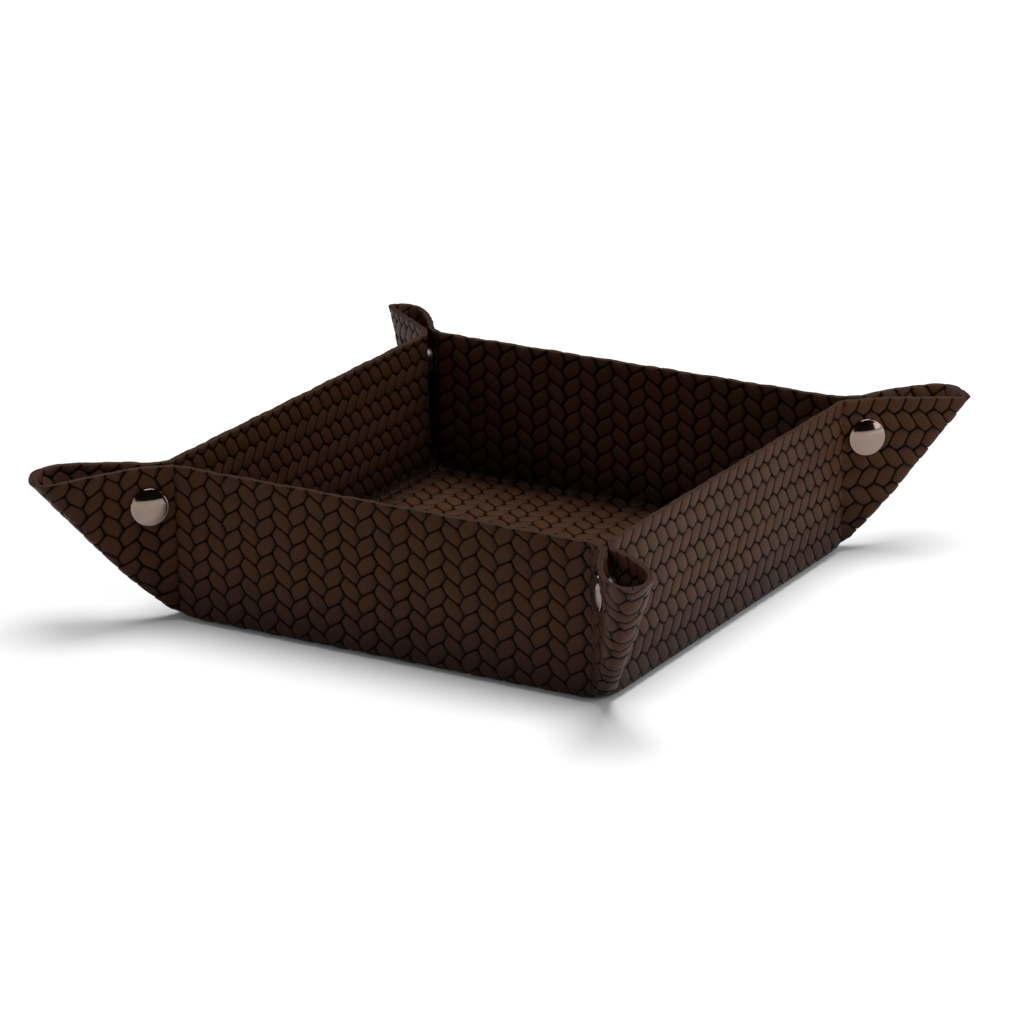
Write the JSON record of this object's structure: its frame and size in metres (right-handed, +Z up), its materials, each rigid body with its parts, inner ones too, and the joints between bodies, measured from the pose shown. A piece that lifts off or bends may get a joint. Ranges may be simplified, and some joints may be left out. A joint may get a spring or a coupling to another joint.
{
  "type": "valet tray",
  "caption": "Square valet tray folded from a woven-embossed leather sheet, with stiffened upright walls and pinched corner loops held by domed metal snaps; unsnaps to lie flat.",
  "frame": {"origin": "middle of the underside of the base, on the table", "axes": "+Z up out of the tray, -Y out of the front wall, +X out of the right wall"},
  "size_m": [0.2442, 0.2442, 0.056],
  "materials": {
    "outer_leather": "embossed plait, semi-matt",
    "inner_leather": "embossed plait, semi-matt",
    "board": "plain fibreboard",
    "cap": "polished dark nickel",
    "fastener": "satin nickel"
  },
  "bodies": {
    "base": {"base_outer_skin": "outer_leather", "base_board": "board", "base_inner_skin": "inner_leather"},
    "front_wall": {"front_wall_outer_skin": "outer_leather", "front_wall_board": "board", "front_wall_inner_skin": "inner_leather"},
    "right_wall": {"right_wall_outer_skin": "outer_leather", "right_wall_board": "board", "right_wall_inner_skin": "inner_leather"},
    "back_wall": {"back_wall_outer_skin": "outer_leather", "back_wall_board": "board", "back_wall_inner_skin": "inner_leather"},
    "left_wall": {"left_wall_outer_skin": "outer_leather", "left_wall_board": "board", "left_wall_inner_skin": "inner_leather"},
    "front_right_ear_front_flap": {"front_right_ear_front_outer_skin": "outer_leather", "front_right_ear_front_inner_skin": "inner_leather", "front_right_snap_cap": "cap", "front_right_snap_socket": "fastener"},
    "front_right_ear_right_flap": {"front_right_ear_right_outer_skin": "outer_leather", "front_right_ear_right_inner_skin": "inner_leather", "front_right_snap_stud": "fastener", "front_right_snap_post": "fastener"},
    "back_right_ear_right_flap": {"back_right_ear_right_outer_skin": "outer_leather", "back_right_ear_right_inner_skin": "inner_leather", "back_right_snap_cap": "cap", "back_right_snap_socket": "fastener"},
    "back_right_ear_back_flap": {"back_right_ear_back_outer_skin": "outer_leather", "back_right_ear_back_inner_skin": "inner_leather", "back_right_snap_stud": "fastener", "back_right_snap_post": "fastener"},
    "back_left_ear_back_flap": {"back_left_ear_back_outer_skin": "outer_leather", "back_left_ear_back_inner_skin": "inner_leather", "back_left_snap_cap": "cap", "back_left_snap_socket": "fastener"},
    "back_left_ear_left_flap": {"back_left_ear_left_outer_skin": "outer_leather", "back_left_ear_left_inner_skin": "inner_leather", "back_left_snap_stud": "fastener", "back_left_snap_post": "fastener"},
    "front_left_ear_left_flap": {"front_left_ear_left_outer_skin": "outer_leather", "front_left_ear_left_inner_skin": "inner_leather", "front_left_snap_stud": "fastener", "front_left_snap_post": "fastener"},
    "front_left_ear_front_flap": {"front_left_ear_front_outer_skin": "outer_leather", "front_left_ear_front_inner_skin": "inner_leather", "front_left_snap_cap": "cap", "front_left_snap_socket": "fastener"}
  },
  "joints": [
    {"name": "front_wall_fold", "type": "hinge", "parent": "base", "child": "front_wall", "pos_m": [0, -0.0875, 0], "axis": [1, 0, 0], "range_deg": [0, 86]},
    {"name": "right_wall_fold", "type": "hinge", "parent": "base", "child": "right_wall", "pos_m": [0.0875, 0, 0], "axis": [0, 1, 0], "range_deg": [0, 86]},
    {"name": "back_wall_fold", "type": "hinge", "parent": "base", "child": "back_wall", "pos_m": [0, 0.0875, 0], "axis": [-1, 0, 0], "range_deg": [0, 86]},
    {"name": "left_wall_fold", "type": "hinge", "parent": "base", "child": "left_wall", "pos_m": [-0.0875, 0, 0], "axis": [0, -1, 0], "range_deg": [0, 86]},
    {"name": "front_right_ear_front_flap_fold", "type": "hinge", "parent": "front_wall", "child": "front_right_ear_front_flap", "pos_m": [0.08284, -0.0851, 0], "axis": [0, 0, 1], "range_deg": [0, 53.75]},
    {"name": "front_right_ear_right_flap_fold", "type": "hinge", "parent": "right_wall", "child": "front_right_ear_right_flap", "pos_m": [0.0851, -0.08284, 0], "axis": [0, 0, -1], "range_deg": [0, 53.75]},
    {"name": "back_right_ear_right_flap_fold", "type": "hinge", "parent": "right_wall", "child": "back_right_ear_right_flap", "pos_m": [0.0851, 0.08284, 0], "axis": [0, 0, 1], "range_deg": [0, 53.75]},
    {"name": "back_right_ear_back_flap_fold", "type": "hinge", "parent": "back_wall", "child": "back_right_ear_back_flap", "pos_m": [0.08284, 0.0851, 0], "axis": [0, 0, -1], "range_deg": [0, 53.75]},
    {"name": "back_left_ear_back_flap_fold", "type": "hinge", "parent": "back_wall", "child": "back_left_ear_back_flap", "pos_m": [-0.08284, 0.0851, 0], "axis": [0, 0, 1], "range_deg": [0, 53.75]},
    {"name": "back_left_ear_left_flap_fold", "type": "hinge", "parent": "left_wall", "child": "back_left_ear_left_flap", "pos_m": [-0.0851, 0.08284, 0], "axis": [0, 0, -1], "range_deg": [0, 53.75]},
    {"name": "front_left_ear_left_flap_fold", "type": "hinge", "parent": "left_wall", "child": "front_left_ear_left_flap", "pos_m": [-0.0851, -0.08284, 0], "axis": [0, 0, 1], "range_deg": [0, 53.75]},
    {"name": "front_left_ear_front_flap_fold", "type": "hinge", "parent": "front_wall", "child": "front_left_ear_front_flap", "pos_m": [-0.08284, -0.0851, 0], "axis": [0, 0, -1], "range_deg": [0, 53.75]}
  ],
  "couplings": [
    {"joint": "right_wall_fold", "follows": "front_wall_fold", "ratio": 1},
    {"joint": "back_wall_fold", "follows": "front_wall_fold", "ratio": 1},
    {"joint": "left_wall_fold", "follows": "front_wall_fold", "ratio": 1},
    {"joint": "front_right_ear_front_flap_fold", "follows": "front_wall_fold", "ratio": 0.625},
    {"joint": "front_right_ear_right_flap_fold", "follows": "front_wall_fold", "ratio": 0.625},
    {"joint": "back_right_ear_right_flap_fold", "follows": "front_wall_fold", "ratio": 0.625},
    {"joint": "back_right_ear_back_flap_fold", "follows": "front_wall_fold", "ratio": 0.625},
    {"joint": "back_left_ear_back_flap_fold", "follows": "front_wall_fold", "ratio": 0.625},
    {"joint": "back_left_ear_left_flap_fold", "follows": "front_wall_fold", "ratio": 0.625},
    {"joint": "front_left_ear_left_flap_fold", "follows": "front_wall_fold", "ratio": 0.625},
    {"joint": "front_left_ear_front_flap_fold", "follows": "front_wall_fold", "ratio": 0.625}
  ]
}
